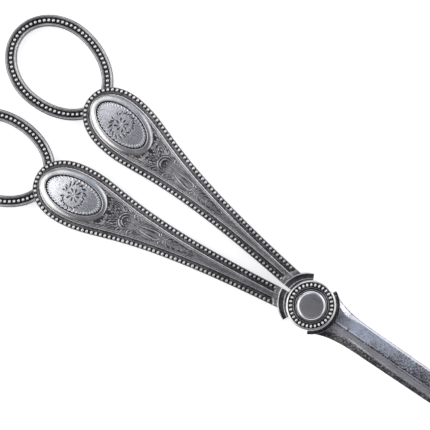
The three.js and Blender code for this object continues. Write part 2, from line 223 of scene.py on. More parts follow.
def outline_at(run):
    """Points on the outline at distances along it, and the inward directions there."""
    step = 0.15
    across, along = outline_place(run)
    next_across, next_along = outline_place(np.minimum(run + step, OUTLINE_RUN[-1]))
    last_across, last_along = outline_place(np.maximum(run - step, 0))
    length = np.hypot(next_across - last_across, next_along - last_along)
    tip = run >= OUTLINE_RUN[-1] - 1e-9
    inward_across = np.where(tip, 0, -(next_along - last_along) / length)
    inward_along = np.where(tip, -1, (next_across - last_across) / length)
    return across, along, inward_across, inward_along


def run_at_along(along):
    return np.interp(along, OUTLINE_ALONG, OUTLINE_RUN)


# ---- engraving

STROKE_OUTLINE = 0.16  # width of the dark line that sets each stroke off
# how far from its start and from its end a stroke reaches its full width, as shares of its length
LEAF = (0.55, 0.4)
POINTED = (0.3, 0.7)
EVEN = (0.35, 0.35)
CURLING = (0.25, 0.5)


def curve(points, count=26):
    """A smooth line through a few points (along, across)."""
    points = np.asarray(points, float)
    padded = np.vstack([2 * points[0] - points[1], points, 2 * points[-1] - points[-2]])
    share = np.linspace(0, len(points) - 1 - 1e-9, count)
    piece = share.astype(int)
    t = (share - piece)[:, None]
    p0, p1, p2, p3 = (padded[piece + k] for k in range(4))
    return 0.5 * (2 * p1 + (p2 - p0) * t + (2 * p0 - 5 * p1 + 4 * p2 - p3) * t ** 2
                  + (3 * p1 - p0 - 3 * p2 + p3) * t ** 3)


def scroll(centre, start_radius, end_radius, start, end, count=34):
    """A spiral about a centre (along, across); the angles are in degrees from the +along direction."""
    angle = np.radians(np.linspace(start, end, count))
    radius = np.linspace(start_radius, end_radius, count)
    return np.stack([centre[0] + radius * np.cos(angle), centre[1] + radius * np.sin(angle)], 1)


def petal(root, heading, length, bend):
    """A curved stroke from a root (along, across), heading in degrees from the +along direction."""
    angle = math.radians(heading)
    root = np.asarray(root, float)
    out = np.array([math.cos(angle), math.sin(angle)])
    side = np.array([-out[1], out[0]])
    return curve([
        root,
        root + 0.45 * length * out - bend * length * side,
        root + 0.85 * length * out,
        root + length * (out + 0.6 * bend * side)], 12)


def leaf(spine, breadth, lobes):
    """A broad curled leaf: round lobes down both sides of a body, and a groove for its rib."""
    height = 0.17
    lean = 46
    strokes = []
    for share in np.linspace(0.12, 0.8, lobes):
        at = int(share * (len(spine) - 1))
        ahead = spine[at + 1] - spine[at - 1]
        heading = math.degrees(math.atan2(ahead[1], ahead[0]))
        length = 1.75 * breadth * math.sin(math.pi * (0.35 + 0.5 * share))
        for side in (1, -1):
            lobe = petal(spine[at], heading + side * lean, length, -0.22 * side)
            strokes.append((lobe, 0.5 * breadth, height, POINTED))
    strokes.append((spine, 0.55 * breadth, 1.1 * height, CURLING))
    strokes.append((spine[2:-2], 0.02, 0.0, EVEN))
    return strokes


def cut(field, outline, along, across, line, width, height, taper):
    """Lays a rounded ridge over what is there, narrowing towards each end, with an outline round it."""
    margin = width + STROKE_OUTLINE
    near = ((along > line[:, 0].min() - margin) & (along < line[:, 0].max() + margin)
            & (across > line[:, 1].min() - margin) & (across < line[:, 1].max() + margin))
    if not near.any():
        return
    ridge = np.zeros(near.sum())
    around = np.zeros(near.sum())
    share = np.linspace(0, 1, len(line))
    for k in range(len(line) - 1):
        step = line[k + 1] - line[k]
        from_along, from_across = along[near] - line[k, 0], across[near] - line[k, 1]
        t = np.clip((from_along * step[0] + from_across * step[1]) / max(step @ step, 1e-12), 0, 1)
        gap = np.hypot(from_along - t * step[0], from_across - t * step[1])
        place = share[k] + t * (share[k + 1] - share[k])
        narrow = np.sqrt(np.minimum(1, np.minimum((place + 0.02) / taper[0], (1.02 - place) / taper[1])))
        reach = width * (0.25 + 0.75 * narrow)
        ridge = np.maximum(ridge, np.clip(1.25 * (1 - (gap / reach) ** 2), 0, 1) ** 0.8 * narrow)
        around = np.maximum(around, np.clip(1 - (gap - reach) / STROKE_OUTLINE, 0, 1) * narrow)
    field[near] = field[near] * (1 - around) + height * ridge
    shown = np.clip(4 * ridge, 0, 1) if height > 0 else 0
    outline[near] = np.maximum(outline[near], around) * (1 - shown)


def engrave(along, across, strokes):
    """The height of strokes laid one over another, at each place, and how dark their outlines are."""
    relief = np.zeros(len(along))
    outline = np.zeros(len(along))
    for stroke in strokes:
        cut(relief, outline, along, across, *stroke)
    return relief, outline


def foliage_strokes():
    """The strokes of one side of the handle's foliage: line (along, across), half-width, height, taper."""
    strokes = []
    # the plume: curved leaves in pairs along the axis, tips towards the pivot, the foot laid over the rest
    for root, length, lean, width in [
            (36.8, 2.2, 6, 0.13), (38.9, 2.6, 17, 0.2), (40.6, 2.9, 24, 0.25), (42.2, 3.0, 31, 0.28),
            (43.5, 2.7, 41, 0.28)]:
        strokes += [
            (petal((root, 0.16), 180 - lean, length, 0.17), width, 0.2, LEAF),
            (petal((root - 0.3, 0.2), 180 - 0.9 * lean, 0.6 * length, 0.17), 0.02, 0.0, EVEN)]
    strokes += [
        # the knot between the plume and the spear: two small scrolls and a band
        (scroll((45.0, 1.15), 0.62, 0.12, 170, -200), 0.18, 0.2, EVEN),
        (curve([(44.3, 0.0), (44.4, 0.45), (44.15, 0.95), (43.5, 1.35)]), 0.18, 0.19, EVEN),
        # the stems that leave the foot of the spear and run into the scrolls
        (curve([(46.4, 1.6), (48.6, 1.85), (50.6, 1.8), (52.0, 2.35)]), 0.11, 0.13, POINTED),
        (petal((50.0, 1.7), 16, 3.0, 0.16), 0.2, 0.16, LEAF),
        (petal((51.3, 1.45), 24, 2.6, 0.2), 0.22, 0.17, LEAF)]
    # the broad leaves, those nearest the cartouche first
    for spine, breadth, lobes in [
            ([(62.4, 4.6), (64.2, 5.5), (66.2, 6.2), (68.4, 6.7)], 0.55, 3),
            ([(59.8, 3.0), (61.2, 4.3), (63.0, 4.9), (65.2, 4.6)], 0.75, 4),
            ([(55.4, 2.5), (56.6, 3.6), (58.4, 4.2), (60.6, 4.2)], 0.66, 4),
            ([(56.8, 1.6), (58.4, 2.9), (60.4, 3.3), (62.4, 2.6)], 0.85, 4),
            ([(57.4, 0.1), (58.9, 0.5), (60.4, 1.3), (62.2, 1.3)], 0.75, 4)]:
        strokes += leaf(curve(spine, 14), breadth, lobes)
    strokes += [
        # the nested shell on the axis, and a scroll at each side of it
        (scroll((55.6, 0.0), 2.15, 2.15, 0, 118), 0.3, 0.18, (0.1, 0.5)),
        (scroll((55.6, 0.0), 1.42, 1.42, 0, 96), 0.28, 0.18, (0.1, 0.5)),
        (petal((54.4, 0.25), 14, 1.5, 0.12), 0.24, 0.16, LEAF),
        (scroll((53.7, 2.6), 0.85, 0.1, -170, 300), 0.26, 0.18, CURLING),
        # the long spear: a broad bright outline and a second line inside it
        (curve([(45.7, 0.15), (46.1, 1.0), (48.4, 1.0), (51.2, 0.62), (54.0, 0.05)]),
         0.26, 0.24, (0.15, 0.45)),
        (curve([(46.9, 0.5), (48.8, 0.48), (51.0, 0.25)]), 0.1, 0.12, POINTED)]
    return strokes


def foliage(along, across):
    """Height of the foliage above the panel, its dark outlines, and how matted the ground is."""
    both_sides = [(side, *rest) for line, *rest in foliage_strokes() for side in (line, line * (1, -1))]
    relief, outline = engrave(along, across, both_sides)
    limit = np.interp(along, [50.0, 53.0, 56.0, 60.0, 66.0], [1.4, 3.2, 4.6, 6.0, 8.0])
    ground = smooth_step(53.5, 57.0, along) * (1 - smooth_step(-0.5, 0.4, np.abs(across) - limit))
    return relief, outline, ground


WREATH_LEAVES = 16
ROSETTE_PETALS = 8


def flourish(along, across):
    """Depth of a plain rosette in a wreath of leaves, for the cartouche plate, centred on (0, 0)."""
    strokes = []
    for k in range(WREATH_LEAVES):
        angle = 2 * math.pi * k / WREATH_LEAVES
        turn = 1 if math.sin(angle - 1e-6) >= 0 else -1
        root = (2.4 * math.cos(angle), 3.0 * math.sin(angle))
        heading = math.degrees(angle) + 70 * turn
        strokes += [(petal(root, heading, 1.4, 0.15), 0.31, 1.0, LEAF),
                    (petal(root, heading - 60 * turn, 1.15, 0.12), 0.25, 1.0, LEAF)]
    for k in range(ROSETTE_PETALS):
        heading = 360 / ROSETTE_PETALS * k
        root = (0.4 * math.cos(math.radians(heading)), 0.4 * math.sin(math.radians(heading)))
        strokes.append((petal(root, heading, 1.4 + 0.3 * (k % 2), 0.08), 0.31, 1.0, LEAF))
    strokes.append((scroll((0, 0), 0.2, 0.2, 0, 340, 12), 0.09, 1.0, EVEN))
    return engrave(along, across, strokes)[0]


# ---- handles

EDGE_LIFT = 0.3
# inset from the handle's edge, height above the middle plane less the lift, tarnish
BORDER_PROFILE = np.array([
    (0.1, 1.02, 0.6), (0.11, 1.14, 0.55), (0.16, 1.24, 0.45), (0.22, 1.28, 0.35), (0.29, 1.27, 0.5),
    (0.34, 1.18, 0.85), (0.42, 1.05, 0.9), (0.6, 0.98, 0.9), (0.78, 0.96, 0.9), (0.96, 0.98, 0.9),
    (1.14, 1.05, 0.88), (1.22, 1.14, 0.75), (1.28, 1.18, 0.6), (1.34, 1.17, 0.6), (1.42, 1.12, 0.7),
    (1.55, 1.09, 0.72), (1.7, 1.1, 0.7), (1.8, 1.14, 0.74), (1.9, 1.22, 0.8), (1.96, 1.31, 0.66),
    (2.0, 1.38, 0.2), (2.06, 1.44, 0.0), (2.14, 1.495, 0.0), (2.22, 1.54, 0.0), (2.29, 1.56, 0.0),
    (2.35, 1.54, 0.1), (2.38, 1.47, 0.75), (2.42, 1.43, 0.95), (2.47, 1.43, 0.9), (2.51, 1.47, 0.3),
    (2.57, 1.53, 0.0), (2.64, 1.56, 0.02), (2.7, 1.55, 0.2), (2.74, 1.51, 0.8), (2.8, 1.5, 0.75),
    (BORDER, 1.53, 0.35),
]) + np.array([0, EDGE_LIFT, 0])
PANEL_HEIGHT = 1.53 + EDGE_LIFT
PANEL_COLUMNS = 101
PANEL_CROWN = 0.05
GROUND_DEPTH = 0.05
OUTLINE_DEPTH = 0.06
SEAT_DEPTH = 0.45  # how far the panel is sunk under the cartouche
COLLAR_HEIGHT = 1.36 + EDGE_LIFT
COLLAR_FROM, COLLAR_TO = 10.15, 10.5
FIRST_ROW = 9.0
FOLIAGE_FROM, FOLIAGE_TO = 33.6, 66.0
WALL_STEPS = 7
WALL_TARNISH = 0.58


def darker_towards_pivot(along):
    """Darkening added to the tarnish channel towards the pivot, fading out down the handle."""
    return 0.3 * (1 - smooth_step(12.0, 50.0, along))


def handle_rows():
    """Distances along the outline of the rows: finest where the foliage is."""
    alongs = np.concatenate([
        np.arange(FIRST_ROW, FOLIAGE_FROM, 0.3), np.arange(FOLIAGE_FROM, FOLIAGE_TO, 0.105),
        np.arange(FOLIAGE_TO, WIDEST_AT, 0.2)])
    return np.concatenate([run_at_along(alongs), np.linspace(run_at_along(WIDEST_AT), OUTLINE_RUN[-1], 90)])


def bend_to_bolster(across, along):
    """Pulls the pivot end of the handle on to the bolster's arc, and fades that out down the stem."""
    # a line down the handle meets the arc at the larger root of along^2 + 2 half_slope along + constant
    x = across + HANDLE_OFFSET
    behind = TURN_SIN * x + BOLSTER_SHIFT
    half_slope = TURN_SIN * TURN_COS * x - TURN_COS * behind
    constant = (TURN_COS * x) ** 2 + behind ** 2 - (BOLSTER_ARC + 0.02) ** 2
    start = -half_slope + np.sqrt(np.maximum(half_slope ** 2 - constant, 0))
    fade_end = 20.0
    pulled = start + (along - FIRST_ROW) * (fade_end - start) / (fade_end - FIRST_ROW)
    return np.where(along < fade_end, pulled, along)


def handle_face(across, along, in_across, in_along):
    """Across, along, height and tarnish over one face, row by row: border, panel and border again."""
    # where the handle is narrow, the fillet's inner lines lie closer together
    crest = 2.2
    squeeze = np.where(along > WIDEST_AT, 1, np.clip((across - 2.35) / 0.7, 0.5, 1))[:, None]
    inset = BORDER_PROFILE[:, 0]
    inset = np.where(inset > crest, crest + (inset - crest) * squeeze, inset)
    border_across = across[:, None] + inset * in_across[:, None]
    border_along = along[:, None] + inset * in_along[:, None]
    border_height = np.broadcast_to(BORDER_PROFILE[:, 1], border_across.shape)
    # darker towards the pivot
    border_dark = BORDER_PROFILE[:, 2] + 0.8 * darker_towards_pivot(border_along)

    share = np.linspace(-1, 1, PANEL_COLUMNS + 2)[1:-1]
    half_panel = border_across[:, -1:]
    panel_across = half_panel * share
    panel_along = np.broadcast_to(border_along[:, -1:], panel_across.shape)
    relief, outline, ground = (
        field.reshape(panel_across.shape) for field in foliage(panel_along.ravel(), panel_across.ravel()))
    crown = PANEL_CROWN * (1 - share ** 2) * np.clip(half_panel / 1.2, 0.2, 1)
    oval = np.hypot(panel_across / BEZEL_OUTER[0], (panel_along - CARTOUCHE_AT) / BEZEL_OUTER[1])
    seat = SEAT_DEPTH * (1 - smooth_step(0.83, 0.9, oval))
    panel_height = PANEL_HEIGHT + crown + relief - GROUND_DEPTH * ground - OUTLINE_DEPTH * outline - seat
    shown = np.clip((relief - 0.03) / 0.05, 0, 1)
    ground_dark = np.interp(panel_along, [26.0, 50.0], [0.52, 0.26]) + 0.72 * ground + outline
    leaf_dark = 0.48 - 0.36 * smooth_step(0.13, 0.21, relief)
    panel_dark = ground_dark * (1 - shown) + leaf_dark * shown

    full_across = np.hstack([-border_across, panel_across, border_across[:, ::-1]])
    full_along = np.hstack([border_along, panel_along, border_along[:, ::-1]])
    height = np.hstack([border_height, panel_height, border_height[:, ::-1]])
    dark = np.hstack([border_dark, panel_dark, border_dark[:, ::-1]])
    collar = 1 - smooth_step(COLLAR_FROM, COLLAR_TO, full_along)
    height = height + np.maximum(COLLAR_HEIGHT - height, 0) * collar
    dark = dark + (0.38 - dark) * collar
    return full_across, full_along, height, dark


def build_handle(half):
    across, along, in_across, in_along = outline_at(handle_rows())
    face_across, face_along, height, dark = handle_face(across, along, in_across, in_along)
    front = np.stack([face_across, -bend_to_bolster(face_across, face_along), height], 2)
    back = front * np.array([1, 1, -1])

    rise = np.cos(np.linspace(0, math.pi, WALL_STEPS + 2)[1:-1])
    edge_inset, edge_height, _ = BORDER_PROFILE[0]
    inset = edge_inset * np.abs(rise) ** 3
    wall_across = across[:, None] + inset * in_across[:, None]
    wall_along = along[:, None] + inset * in_along[:, None]
    wall_height = np.broadcast_to(edge_height * rise, wall_across.shape)
    right_wall, left_wall = (
        np.stack([side * wall_across, -bend_to_bolster(side * wall_across, wall_along), wall_height], 2)
        for side in (1, -1))
    wall_dark = np.full(wall_across.shape, WALL_TARNISH)

    ring = np.concatenate([front, right_wall, back[:, ::-1], left_wall[:, ::-1]], 1)
    ring_dark = np.hstack([dark, wall_dark, dark[:, ::-1], wall_dark])
    shape = surface(*np.moveaxis(ring, 2, 0), ring_dark)
    handle_piece(half, "handle", shape, "oxidised_silver", caps=[np.arange(ring.shape[1])[::-1]])


# ---- beads

BEAD_RINGS = 9
BEAD_STEPS = 14
BEAD_UNEVENNESS = 0.035
BEAD_WANDER = 0.02
STRIP_HALF = 0.3  # half the width of the strip that carries a row of beads


def bead_unit():
    """A slightly flattened ball, as a grid with its poles pinched, dark with oxide at its root and with
    painted shade up its flanks, so only its crown is bright.
    """
    polar = np.linspace(0, math.pi, BEAD_RINGS)[:, None]
    angle = full_circle(BEAD_STEPS)
    return surface(np.sin(polar) * np.cos(angle), np.sin(polar) * np.sin(angle), 0.94 * np.cos(polar),
                   # painted shade: clean at the crown, darkening down the flanks to black at the root
                   1 - smooth_step(0.0, 0.8, np.cos(polar)))


def bead_row(centres, radius, seed):
    """Beads at the centres, each a hair different in size and seat, as struck beads are."""
    chance = np.random.default_rng(seed)
    unit, quads, dark = bead_unit()
    size = radius * (1 + BEAD_UNEVENNESS * chance.uniform(-1, 1, len(centres)))
    shift = BEAD_WANDER * chance.uniform(-1, 1, (len(centres), 3))
    points = (centres + shift)[:, None, :] + unit[None] * size[:, None, None]
    every = (quads[None] + (np.arange(len(centres)) * len(unit))[:, None, None]).reshape(-1, 4)
    return points.reshape(-1, 3), every, np.tile(dark, len(centres))


def spaced(line, pitch):
    """Points at an even pitch along a line."""
    run = np.concatenate([[0], np.cumsum(np.linalg.norm(np.diff(line, axis=0), axis=1))])
    places = np.linspace(0, run[-1], int(round(run[-1] / pitch)) + 1)
    return np.stack([np.interp(places, run, line[:, k]) for k in range(2)], 1)


def sideways(line):
    """The unit direction square to a line of (across, along) points, at each of them."""
    ahead = np.gradient(line, axis=0)
    ahead /= np.linalg.norm(ahead, axis=1)[:, None]
    return np.stack([ahead[:, 1], -ahead[:, 0]], 1)


def strip(line, bottom, top):
    """A closed flat bar along a line of (across, along) points."""
    side = sideways(line) * STRIP_HALF
    place = np.stack([line + side, line - side, line - side, line + side], 1)
    points, quads, tarnish_and_shade = surface(place[..., 0], -place[..., 1], [bottom, bottom, top, top], 1.0)
    last = 4 * (len(line) - 1)
    ends = np.array([[3, 2, 1, 0], [last, last + 1, last + 2, last + 3]])
    return points, np.vstack([quads, ends]), tarnish_and_shade


def build_beads(half, kind, side, line, height, radius, carrier, seed):
    """Beads along a line of (across, along) points, on a strip given by its pitch, bottom and top."""
    centre = spaced(line, BEAD_PITCH)
    centres = np.column_stack([centre[:, 0], -centre[:, 1], np.full(len(centre), side * height)])
    points, quads, dark = bead_row(centres, radius, seed + len(half) + 7 * side)
    if side < 0:
        # on the lower face each bead is turned over about its own centre
        points[:, 2] = 2 * side * height - points[:, 2]
    # darker towards the pivot
    dark = dark + darker_towards_pivot(-points[:, 1])
    pitch, bottom, top = carrier
    shape = join((points, quads, dark), strip(spaced(line, pitch), side * bottom, side * top))
    handle_piece(half, kind, shape, "bead_silver")


BEADS_FROM = 11.0
BEAD_LINE_INSET = 0.78


def build_bead_wire(half, face, side):
    """The beads round the handle's edge."""
    run = np.linspace(run_at_along(BEADS_FROM), OUTLINE_RUN[-1], 500)
    across, along, in_across, in_along = outline_at(run)
    right = np.stack([across + BEAD_LINE_INSET * in_across, along + BEAD_LINE_INSET * in_along], 1)
    right[-1, 0] = 0
    line = np.vstack([right * (-1, 1), right[::-1][1:]])
    build_beads(half, f"{face}_bead_wire", side, line, height=1.36 + EDGE_LIFT, radius=0.49,
                carrier=(0.5, 1.1, 1.45), seed=20)


# ---- finger loops

LOOP_ENDS = 163  # degrees each way from the loop's far point to where it meets the handle
LOOP_BEAD_ENDS = 152.5


def loop_line(end_degrees, count):
    """Points (across, along) on the middle line of the egg-shaped loop, from one end to the other."""
    angle = np.radians(np.linspace(-end_degrees, end_degrees, count))
    reach = np.where(np.cos(angle) > 0, LOOP_FAR_REACH, LOOP_NEAR_REACH)
    across = LOOP_SHIFT + LOOP_HALF_WIDTH * np.sin(angle)
    return np.stack([across, LOOP_WIDEST_AT + reach * np.cos(angle)], 1)


def build_loop(half):
    # distance from the middle line, height, tarnish, for a quarter of the section; on the walls and the
    # rim's flat the tarnish is partly painted shade, in the bead channel it is oxide
    quarter = np.array([
        (1.6, 0.0, 0.72), (1.6, 0.6, 0.72), (1.57, 0.86, 0.74), (1.5, 1.02, 0.7), (1.4, 1.12, 0.52),
        (1.3, 1.18, 0.22), (1.21, 1.19, 0.12), (1.12, 1.15, 0.46), (1.0, 1.12, 0.52), (0.86, 1.12, 0.44),
        (0.78, 1.08, 0.55), (0.71, 0.98, 0.85), (0.63, 0.87, 0.92), (0.45, 0.79, 0.92), (0.2, 0.77, 0.92)])
    top = np.vstack([quarter, quarter[::-1] * (-1, 1, 1)])
    out, height, tarnish_and_shade = np.vstack([top, top[1:-1][::-1] * (1, -1, 1)]).T
    line = loop_line(LOOP_ENDS, 420)
    place = line[:, None, :] + sideways(line)[:, None, :] * out[:, None]
    shape = surface(place[..., 0], -place[..., 1], height, tarnish_and_shade)
    handle_piece(half, "loop", shape, "oxidised_silver", caps=end_rings(len(line), len(out)))


def build_loop_beads(half, face, side):
    build_beads(half, f"{face}_loop_beads", side, loop_line(LOOP_BEAD_ENDS, 400), height=1.1, radius=0.5,
                carrier=(0.6, 0.6, 0.95), seed=60)


# ---- cartouches

# How fast each cartouche falls away lengthwise from its middle, and how much lower each plate lies
# towards the loop, per mm: no two are hammered quite alike.
DOME = {"finger": 0.0048, "thumb": 0.0034}
LEAN = {"finger": 0.03, "thumb": 0.0}
BEZEL_BOTTOM = 1.30
BEZEL_LIFT = 0.1
BEZEL_STEPS = 240
PLATE_HEIGHT = 2.16
PLATE_CROWN = 0.02
PLATE_BOTTOM = 1.15
SCALLOPS = 44
SCALLOP_DROP = 0.22
SCALLOP_SWELL = 0.036
ENGRAVING_DEPTH = 0.08
ENGRAVING_BURR = 0.045


def build_bezel(half, face, side):
    """The smooth oval ring: a step outside, a broad round, and a fine lip at the plate."""
    # share of the way from the outer oval to the inner one, height, tarnish
    share, level, tarnish_and_shade = np.array([
        (0.0, BEZEL_BOTTOM, 0.9), (0.0, 1.86, 0.8), (0.02, 1.96, 0.5), (0.05, 2.02, 0.22),
        (0.1, 2.04, 0.25), (0.13, 2.04, 0.5), (0.16, 2.07, 0.35), (0.2, 2.11, 0.2), (0.28, 2.16, 0.18),
        (0.38, 2.205, 0.18), (0.48, 2.24, 0.18), (0.58, 2.265, 0.17), (0.68, 2.285, 0.16),
        (0.78, 2.3, 0.15), (0.86, 2.31, 0.15), (0.88, 2.295, 0.45), (0.9, 2.3, 0.25),
        (0.93, 2.33, 0.05), (0.955, 2.33, 0.12), (0.975, 2.28, 0.5), (1.0, 2.2, 0.6), (1.0, 1.8, 1.0),
        (1.0, BEZEL_BOTTOM, 1.0)]).T
    angle = full_circle(BEZEL_STEPS)[:, None]
    across_reach, along_reach = (
        outer + (inner - outer) * share for outer, inner in zip(BEZEL_OUTER, BEZEL_INNER))
    along = CARTOUCHE_AT + along_reach * np.cos(angle)
    fall = np.minimum(level - BEZEL_BOTTOM, 0.5) * 2 * DOME[half] * (along - CARTOUCHE_AT) ** 2
    height = side * (level - fall + BEZEL_LIFT)
    shape = surface(across_reach * np.sin(angle), -along, height, tarnish_and_shade, closed=True)
    handle_piece(half, f"{face}_bezel", shape, "polished_silver")


def build_plate(half, face, side):
    """The cartouche plate, with a scalloped edge, and engraved on the front."""
    engraved = face == "front"
    steps, rings = (456, 96) if engraved else (228, 30)
    angle = full_circle(steps)
    reach = np.linspace(0, 1, rings)[:, None]
    across = (BEZEL_INNER[0] - 0.02) * reach * np.sin(angle)
    along = (BEZEL_INNER[1] - 0.02) * reach * np.cos(angle)
    over = reach - (0.88 + 0.085 * np.abs(np.sin(SCALLOPS * angle / 2)) ** 0.6)
    drop = SCALLOP_DROP * smooth_step(-0.015, 0.02, over)
    swell = SCALLOP_SWELL * smooth_step(-0.1, -0.03, over)
    depth = np.zeros(across.shape)
    if engraved:
        depth = flourish(along.ravel(), across.ravel()).reshape(across.shape)
    burr = np.clip(depth / 0.25, 0, 1) * (1 - np.clip((depth - 0.25) / 0.35, 0, 1))
    height = PLATE_HEIGHT + PLATE_CROWN * (1 - reach ** 2) + swell - drop
    height = height - ENGRAVING_DEPTH * depth + ENGRAVING_BURR * burr
    height = height - 1.2 * DOME[half] * along ** 2 - LEAN[half] * along
    # black where the plate drops under the bezel's lip: oxide in the gap and painted shade; the engraving is
    # dark with oxide, its burr a little brighter
    dark = np.clip(0.06 + smooth_step(-0.016, 0.01, over) + depth - 0.06 * burr, 0, 1)
    top = np.stack([across, -(CARTOUCHE_AT + along), side * height], 2)
    under = top[[-1, 0]]
    under[:, :, 2] = side * PLATE_BOTTOM
    shape = surface(*np.moveaxis(np.vstack([top, under]), 2, 0), np.vstack([dark, np.ones((2, steps))]))
    handle_piece(half, f"{face}_plate", shape, "plate_silver")


# ---- blades

SHOULDER_FROM = math.radians(47.7)
SHOULDER_TO = math.radians(62.6)
RIDGE_HALF = 0.28
FULL_HALF = 3.85  # the blade counts as narrow where its half-width is less
COLLAR_STEPS = 120
# thickness at the lines that run down the blade, from the spine over the ridge to the cutting edge, and the
# number of columns from each line to the next
BLADE_THICKNESS = (0.62, 1.3, 1.46, 1.5, 1.43, 0.95, 0.6, 0.48)
BLADE_COLUMNS = (16, 12, 6, 8, 10, 6, 2)
BEVEL_LINE = 5
INSIDE_TARNISH = 0.15


SHOULDER_CORNER = (SHOULDER_RADIUS * math.sin(SHOULDER_FROM), SHOULDER_RADIUS * math.cos(SHOULDER_FROM))
BLADE_FLARE = cubic(SHOULDER_CORNER, (4.75, 8.6), (4.0, 11.0), (4.03, 20.0), 120)
BLADE_POINT = cubic((FULL_HALF, 40.0), (3.72, 52.0), (2.6, BLADE_LENGTH), (0.0, BLADE_LENGTH), 110)
BLADE_SIDE = np.vstack([BLADE_FLARE, BLADE_POINT])


def shoulder_sag(x):
    """How far the shoulder's arc has fallen away at a distance from the blade's middle line."""
    return SHOULDER_RADIUS - np.sqrt(SHOULDER_RADIUS ** 2 - np.minimum(np.abs(x), 6) ** 2)


def blade_rows():
    """Where the rows cross the blade's middle, how far they bow round the collar, and their half-widths."""
    middle = np.concatenate([
        np.linspace(SHOULDER_RADIUS - 0.01, 15.5, 56), np.arange(15.8, 40, 0.45), BLADE_POINT[1:, 1]])
    middle = np.concatenate([middle[:1] - 0.12, middle])
    bow = 1 - smooth_step(SHOULDER_RADIUS, 15.0, middle)
    reach = np.interp(middle, BLADE_SIDE[:, 1], BLADE_SIDE[:, 0])
    for _ in range(40):
        reach = np.interp(middle - bow * shoulder_sag(reach), BLADE_SIDE[:, 1], BLADE_SIDE[:, 0])
    reach[-1] = 0
    return middle[:, None], bow[:, None], reach[:, None]


def fill_columns(lines):
    """The values at the lines, filled in with evenly spaced columns between each neighbouring pair."""
    parts = []
    for k, count in enumerate(BLADE_COLUMNS):
        share = np.linspace(0, 1, count, endpoint=False)
        parts.append(lines[:, k:k + 1] + (lines[:, k + 1] - lines[:, k])[:, None] * share)
    return np.hstack(parts + [lines[:, -1:]])


def blade_body():
    """The ridged blade, one ring of points for each row, and the points of its first row."""
    middle, bow, reach = blade_rows()
    run_out = 1 - smooth_step(8.5, 15.0, middle)  # the edge's grind widens towards the pivot
    far = smooth_step(14.0, 24.0, middle)
    shrink = 1 - 0.4 * middle / BLADE_LENGTH
    narrow = np.minimum(1, reach / FULL_HALF)
    hollow_from = np.interp(
        middle, [6.9, 8.8, 11.0, 14.0, 19.0, 27.5, 66.0], [3.9, 2.7, 2.0, 1.6, 1.7, 2.1, 2.1])
    hollow_from = np.minimum(hollow_from * narrow, 0.93 * reach)
    bevel_from = reach - (0.6 + 1.15 * run_out) * narrow
    ridge = np.minimum(RIDGE_HALF, 0.1 * reach)
    lip = 0.12 * narrow
    x = fill_columns(np.hstack([
        -reach, -hollow_from, -ridge, 0 * reach, ridge, bevel_from, reach - lip, reach]))
    y = middle - bow * shoulder_sag(x)
    thickness = np.tile(BLADE_THICKNESS, (len(middle), 1))
    thickness[:, BEVEL_LINE:BEVEL_LINE + 1] += 0.38 * run_out
    thickness = fill_columns(thickness * (shrink * (0.35 + 0.65 * narrow)))

    def line_at(place, half_width):
        return np.exp(-((x - place) / half_width) ** 2)

    spine = np.clip((-x - hollow_from) / np.maximum(reach - hollow_from, 0.01), 0, 1)
    thickness = thickness + (0.08 * far - 0.03) * np.sin(math.pi * spine) * shrink
    scored = line_at(-0.2, 0.08) + 0.7 * line_at(-0.78, 0.07) * far
    nick = np.exp(-(x / 0.3) ** 2 - ((y - 12.4) / 0.32) ** 2)
    thickness = thickness - (0.05 * scored + 0.12 * nick) * (reach > 1)
    thickness[0] -= 0.2

    bevelled = smooth_step(0.0, 1.0, (x - bevel_from) / (0.2 + 0.9 * run_out))
    cutting = smooth_step(0.8, 3.0, x)
    facet = smooth_step(-0.3, 0.1, x) * (1 - smooth_step(0.2, 2.6, x))
    # the root next to the collar, which is given painted shade below
    cove = 1 - smooth_step(8.0, 11.0, middle)
    # Tarnish down the blade: oxide in its scored lines, and painted shade where noted.
    dark = sum([
        0.04,
        (0.12 * run_out - 0.2) * bevelled,  # the bright bevel
        (0.82 + 0.14 * far) * smooth_step(0.0, 0.45, spine),  # the hollow along the spine, dark with oxide and painted shade
        0.8 * (x > reach - 1.3 * lip),  # painted shade along the cutting edge itself
        0.12 * cutting * run_out,
        0.22 * facet * far,  # painted shade beside the ridge
        0.9 * line_at(-0.22, 0.16),  # the scored lines
        # more painted shade beside the ridge, up to the middle of the blade
        0.28 * line_at(0.15, 0.4) * far * (1 - smooth_step(26.0, 32.0, y)),
        0.7 * smooth_step(26.0, 31.0, y) * (line_at(-0.8, 0.13) - 0.4 * line_at(-0.52, 0.12)),
        0.55 * cove * (1 - cutting),  # painted shade at the root, falling from the collar
        0.56 * smooth_step(-0.3, 0.0, x) * (1 - bevelled) * smooth_step(16.0, 42.0, y),
        0.9 * nick])

    sides = [-1, 0]
    inside = np.full((len(x), 2), LOBE_TOP)
    shape = surface(
        np.hstack([x, x[:, sides]]), np.hstack([y, y[:, sides]]), np.hstack([LOBE_TOP - thickness, inside]),
        np.hstack([dark, np.full(inside.shape, INSIDE_TARNISH)]))
    return shape, np.arange(x.shape[1] + 2)


def blade_lobe():
    """The disc round the pivot."""
    # radius, depth under the inside face, tarnish
    radius, depth, tarnish_and_shade = np.array([
        (1.95, 1.45, 0.5), (2.1, 1.5, 0.3), (6.55, 1.5, 0.3), (6.75, 1.44, 0.5), (6.9, 1.2, 0.7),
        (6.9, 0.08, 0.4), (6.82, 0.0, 0.2), (2.05, 0.0, 0.2), (1.95, 0.1, 0.3)]).T
    return turned(np.stack([radius, LOBE_TOP - depth, tarnish_and_shade], 1))


